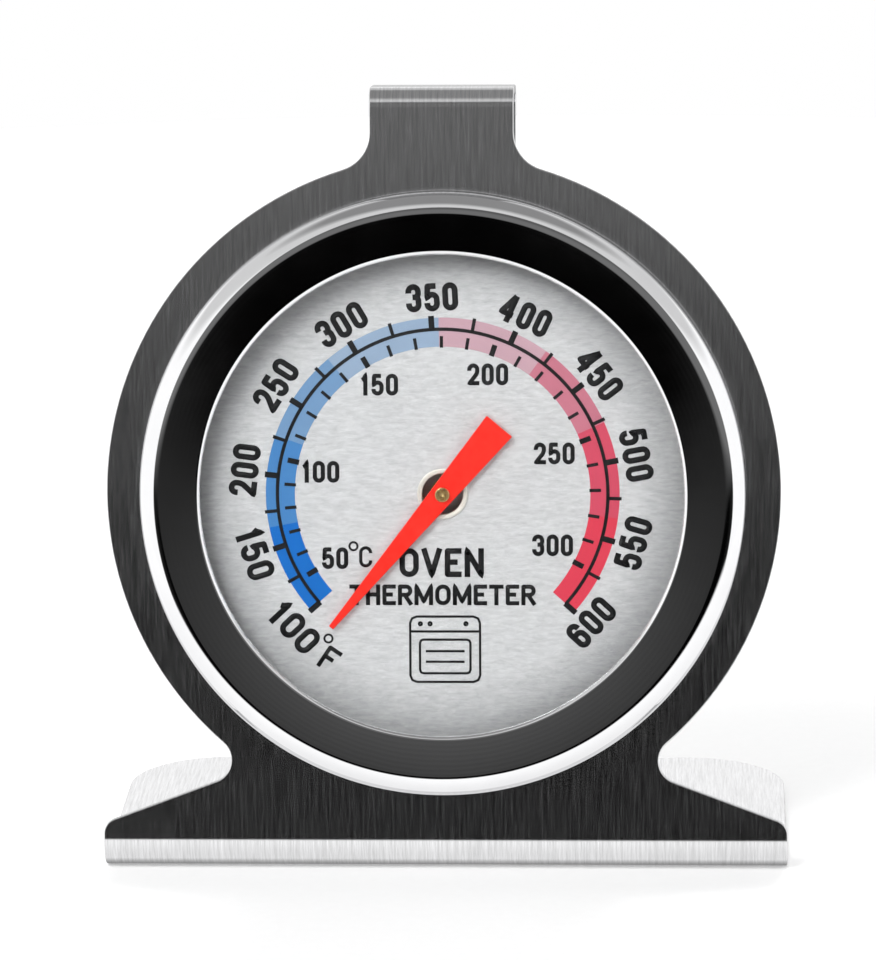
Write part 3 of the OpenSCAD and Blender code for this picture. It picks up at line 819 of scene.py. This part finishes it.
FIGURE_RING, OUTER_TALL, OUTER_WIDE, INNER_TALL, DEGREE = 20.3, 2.9, 5.35, 2.25, 1.05
NUDGES = {100: (-0.6, 0.1), 200: (-0.2, 0), 250: (0, 0.3), 500: (-0.05, 0.4), 550: (0.1, 0.6),
          600: (0.3, 0.45)}
SPREAD = {100: 5.9, 150: 5.5}
around = []
for value, angle in zip(range(100, 601, 50), outer_marks[::2]):
    upside_down = value in (100, 150, 550, 600)
    angle += math.radians(-1.6 if value == 100 else 0.6)
    centre = [a + b for a, b in zip(on_ring(FIGURE_RING, angle), NUDGES.get(value, (0, 0)))]
    around.append((str(value), centre, OUTER_TALL, SPREAD.get(value, OUTER_WIDE),
                   angle + (math.pi if upside_down else 0)))
lettered("outer_figures", 0.6, around)
inner_places = {"100": (-12.6, 2.3), "150": (-6.5, 11.3), "200": (4.7, 12.35),
                "250": (11.5, 4.2), "300": (11.3, -5.3)}
inside = [(words, centre, INNER_TALL, 4.0 if "1" in words else 4.2, 0)
          for words, centre in inner_places.items()]
inside += [("50", (-11.1, -6.65), INNER_TALL, 2.7, 0),
           ("F", (-11.75, -17.15), 2.55, 1.65, math.radians(34))]
lettered("inner_figures", 0.44, inside)
lettered("unit_signs", 0.34, [("C", (-7.95, -6.5), 2.2, 1.35, 0)])
lettered("degree_signs", 0.22, [("\u00b0", centre, DEGREE, DEGREE, 0)
                               for centre in ((-9.2, -5.4), (-11.85, -15.0))])
lettered("title_first", 0.58, [("OVEN", (-0.12, -7.1), 3.0, 8.7, 0)])
lettered("title_second", 0.43, [("THERMOMETER", (-0.05, -10.45), 2.15, 19.2, 0)])

# %% [markdown]
# Below the words sits a plain sign for what the gauge is for: the outline of an oven with its
# knobs, its window and two racks. It is written with the same pen.

# %% Oven sign
def box_stroke(roundness):
    return [(0, 0, roundness), (1, 0, roundness), (1, 1, roundness), (0, 1, roundness),
            (0, 0, roundness)]


sign = bmesh.new()
sign_place = Matrix.Translation((0.2, -16.1, 0))
level_bar = [(0, 0), (1, 0)]
sign_strokes = [(box_stroke(0.2), (-3.6, -3.4, 7.2, 6.8)),
                (box_stroke(0.2), (-2.6, -2.5, 5.2, 3.5)),
                (level_bar, (-3.6, 1.85, 7.2, 1)), (level_bar, (-2.0, -1.3, 4.0, 1)),
                (level_bar, (-2.0, -0.2, 4.0, 1))]
sign_strokes += [(box_stroke(1), (knob_x, 2.5, 0.3, 0.3)) for knob_x in (-2.7, -1.7, 2.0)]
for points, box in sign_strokes:
    stroke_ribbon(sign, points, box, sign_place)
inked("oven_sign", sign, 0.24)

# %% [markdown]
# ## The coil
# Behind the dial a strip of bimetal is wound in a flat spiral. Its inner end turns with the
# collet and its outer end is riveted to the strap, so it winds and unwinds. The strip's section
# is spun half a turn at a time about two centres by turns, which is how such a spiral is drawn
# with compasses. Each new vertex keeps its length along the strip from the inner end, in a layer
# named along; every stretch of an evenly bent strip takes the same share of the turn.

# %% Wind the bimetal strip
strip_t, strip_low, strip_high, turns, strip_r, leg_x, tail = 0.35, -8.0, -4.0, 6, 2.18, 11.4, 3.3
half_pitch = (leg_x - strip_t / 2 - strip_r) / turns / 2
coil = bmesh.new()
strip = [coil.verts.new((strip_r + side * strip_t / 2, 0, z))
         for side, z in ((-1, strip_low), (1, strip_low), (1, strip_high), (-1, strip_high))]
end = [coil.faces.new(strip)]
along = coil.verts.layers.float.new("along")
length = 0.0
for half in range(2 * turns):
    ends = end + [e for f in end for e in f.edges] + [v for f in end for v in f.verts]
    before = set(coil.verts)
    radius = strip_r + half * half_pitch
    centre = (half % 2 * half_pitch, 0, 0)
    made = bmesh.ops.spin(coil, geom=ends, cent=centre, axis=(0, 0, 1), dvec=(0, 0, 0),
                          angle=math.pi, steps=24, use_duplicate=False)["geom_last"]
    for vert in set(coil.verts) - before:
        swept = math.atan2(vert.co.y, vert.co.x - centre[0]) - (math.pi if half % 2 else 0)
        vert[along] = length + radius * (swept % math.tau if abs(swept) > 1e-6 else 0)
    length += math.pi * radius
    end = [g for g in made if isinstance(g, bmesh.types.BMFace)]

# %% [markdown]
# The outer end runs straight along the strap's leg, where the rivet holds it. The cross-sections
# that the spins leave inside the strip are removed, so that it is one closed solid.

# %% Outer end and its length along the strip
made = bmesh.ops.extrude_face_region(coil, geom=end)["geom"]
far = [g for g in made if isinstance(g, bmesh.types.BMVert)]
bmesh.ops.translate(coil, verts=far, vec=(0, tail, 0))
length += tail
for vert in far:
    vert[along] = length
bmesh.ops.delete(coil, geom=[f for f in coil.faces if len(f.verts) == 4 and all(
    not e.is_boundary and not e.is_manifold for e in f.edges)], context="FACES_ONLY")
bmesh.ops.recalc_face_normals(coil, faces=coil.faces[:])
coil = as_piece("coil_strip", coil, bimetal, body=None, stands_for=["bimetal_coil"])
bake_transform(coil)
print(f"the strip is {length:.1f} mm long")

# %% [markdown]
# ## Finishes on the CAD's own parts
# The case, the dial sheet, the movement's strap, bushes, rivets and arbor already have the right
# shapes, so they keep their meshes and only take the finishes made above.

# %% Finish the CAD parts
cad_finishes = {"case": case_steel, "dial": dial_sheet, "spacer_ring": ring_sheet,
                "bridge": strap_steel, "bridge_rivets": strap_steel, "coil_rivet": strap_steel,
                "front_bush": turned_brass, "rear_bush": turned_brass,
                "coil_collet": turned_brass, "arbor": turned_brass}
for node, finish in cad_finishes.items():
    for held in frame["nodes"][node].material_slots:
        held.material = finish
print("finished:", ", ".join(cad_finishes))

# %% [markdown]
# ## Studio
# The gauge stands on a pale floor under soft light. Polished metal only looks like metal when it
# has something to mirror, so the world is a room: bright all round, but nearly black in front,
# where the camera stands. The functions made for the finishes work on its nodes too.

# %% A bright room with a dark front
world = bpy.data.worlds.new("studio")
bpy.context.scene.world = world
world.use_nodes = True
world.node_tree.nodes.clear()
looking = add_node(world, "TexCoord")


def nearness(direction):
    """1 where a ray runs along direction, -1 where it runs against it."""
    made = add_node(world, "VectorMath", operation="DOT_PRODUCT")
    made.inputs[1].default_value = direction
    join(world, (looking.outputs["Generated"], made.inputs[0]))
    return made.outputs["Value"]


def grey_ramp(source, first, last, *between):
    """Greys through (position, grey) stops, read at source."""
    made = add_node(world, "ValToRGB")
    stops = made.color_ramp.elements
    for stop, (place, grey) in ((stops[0], first), (stops[1], last)):
        stop.position, stop.color = place, (grey, grey, grey, 1)
    for place, grey in between:
        stops.new(place).color = (grey, grey, grey, 1)
    join(world, (source, made.inputs["Fac"]))
    return made.outputs["Color"]


BRIGHT, DARK = 1.12, 0.001
sides = grey_ramp(nearness(Vector((0.09, -1.0, 0.03)).normalized()), (0.0, BRIGHT), (1.0, DARK),
                  (0.80, BRIGHT), (0.835, 0.02), (0.97, DARK))

# %% [markdown]
# The room is dimmer towards its ceiling and low down behind, so that the hook, and the back of
# the plate, aren't washed out.

# %% Dimming overhead and behind
parts = add_node(world, "SeparateXYZ")
join(world, (looking.outputs["Generated"], parts.inputs[0]))
upward = parts.outputs["Z"]
overhead = grey_ramp(remap(world, upward, 0.0, 1.0, -1.0, 1.0), (0.0, 0.84), (0.94, 0.25),
                     (0.25, 0.95), (0.4, 1.0), (0.68, 1.0), (0.75, 0.64), (0.87, 0.62))
behind = remap(world, nearness((0, 0.8, -0.6)), 1.0, 0.3, 0.62, 1.0)
dimming = add_node(world, "VectorMath", operation="SCALE")
join(world, (overhead, dimming.inputs[0]), (behind, dimming.inputs["Scale"]))

# %% [markdown]
# The floor in front is as bright as the sides, and a faint haze lies above the dark front. The
# camera itself sees plain white behind the object.

# %% Bright floor, haze and white backdrop
floor_glow = remap(world, upward, 1.15, 0.0, -0.2, -0.13)
haze = remap(world, upward, 0.0, 0.17, 0.012, 0.1)
lift_front = add_node(world, "Math", operation="MAXIMUM")
room = add_node(world, "VectorMath", operation="MAXIMUM")
dimmed = add_node(world, "VectorMath", operation="SCALE")
ray = add_node(world, "LightPath")
seen = add_node(world, "Mix", data_type="RGBA")
seen.inputs[7].default_value = (1, 1, 1, 1)
background = add_node(world, "Background", Strength=1.0)
output = add_node(world, "OutputWorld")
join(world, (floor_glow, lift_front.inputs[0]), (haze, lift_front.inputs[1]),
     (sides, room.inputs[0]), (lift_front.outputs["Value"], room.inputs[1]),
     (room.outputs["Vector"], dimmed.inputs[0]),
     (dimming.outputs["Vector"], dimmed.inputs["Scale"]),
     (ray.outputs["Is Camera Ray"], seen.inputs[0]), (dimmed.outputs["Vector"], seen.inputs[6]),
     (seen.outputs[2], background.inputs["Color"]),
     (background.outputs["Background"], output.inputs["Surface"]))
print("the front is", DARK, "and the sides are", BRIGHT)

# %% [markdown]
# The floor and the lamps light the gauge, but polished metal doesn't mirror them: a lamp would
# show in it as a hard white patch.

# %% Floor and lamps
floor = bmesh.new()
bmesh.ops.create_circle(floor, cap_ends=True, segments=96, radius=0.4)
floor_mesh = bpy.data.meshes.new("floor")
floor.to_mesh(floor_mesh)
floor.free()
floor = bpy.data.objects.new("floor", floor_mesh)
bpy.context.scene.collection.objects.link(floor)
paper, shader = new_finish("floor_paper")
fibre = add_node(paper, "TexNoise", Scale=900.0, Detail=3.0)
where = add_node(paper, "TexCoord")
join(paper, (where.outputs["Object"], fibre.inputs["Vector"]),
     (two_tone(paper, fibre.outputs["Fac"], (0.93, 0.93, 0.93), (0.96, 0.96, 0.96)),
      shader.inputs["Base Color"]))
shader.inputs["Roughness"].default_value = 0.9
shader.inputs["Specular IOR Level"].default_value = 0.1
floor_mesh.materials.append(paper)
floor.visible_glossy = False


def lamp(name, place, size, power):
    light = bpy.data.lights.new(name, "AREA")
    light.shape = "RECTANGLE"
    light.size, light.size_y = size
    light.energy = power
    made = bpy.data.objects.new(name, light)
    made.location = place
    made.rotation_euler = (LAMP_AIM - Vector(place)).to_track_quat("-Z", "Y").to_euler()
    made.visible_camera = False
    made.visible_glossy = False
    bpy.context.scene.collection.objects.link(made)


LAMP_AIM = Vector((0, -0.01, 0.04))
lamp("key_lamp", place=(-0.4, -0.6, 0.62), size=(0.45, 0.45), power=6.1)
lamp("fill_lamp", place=(0.75, -0.55, 0.35), size=(0.5, 0.5), power=2.2)
lamp("back_lamp", place=(0.1, 0.8, 0.7), size=(0.8, 0.5), power=7.0)
print("world, floor and three lamps")

# %% [markdown]
# ## Camera
# A long lens stands a little to the right of the dial and looks down on it, so the foot's upper
# side shows behind the plate. The camera's turn is written as its three axes.

# %% Camera
rise, pan, roll = rads(14.444, 2.769, -0.688)
camera_place, lens_length = (0.026852, -0.579626, 0.186713), 213.03
forward = Vector((-math.sin(pan) * math.cos(rise), math.cos(pan) * math.cos(rise),
                  -math.sin(rise)))
level = Vector((math.cos(pan), math.sin(pan), 0))
upright = level.cross(forward)
right = level * math.cos(roll) + upright * math.sin(roll)
camera_data = bpy.data.cameras.new("studio_camera")
camera_data.sensor_width = 36.0
camera_data.lens = lens_length
camera_data.clip_start = 0.01
camera = bpy.data.objects.new("studio_camera", camera_data)
camera.matrix_world = Matrix.Translation(camera_place) @ Matrix(
    (right, right.cross(forward), -forward)).transposed().to_4x4()
bpy.context.scene.collection.objects.link(camera)
bpy.context.scene.camera = camera
bpy.context.scene.view_settings.view_transform = "Standard"
print("camera", [round(c * 1000, 1) for c in camera.location], "mm, lens", camera_data.lens)
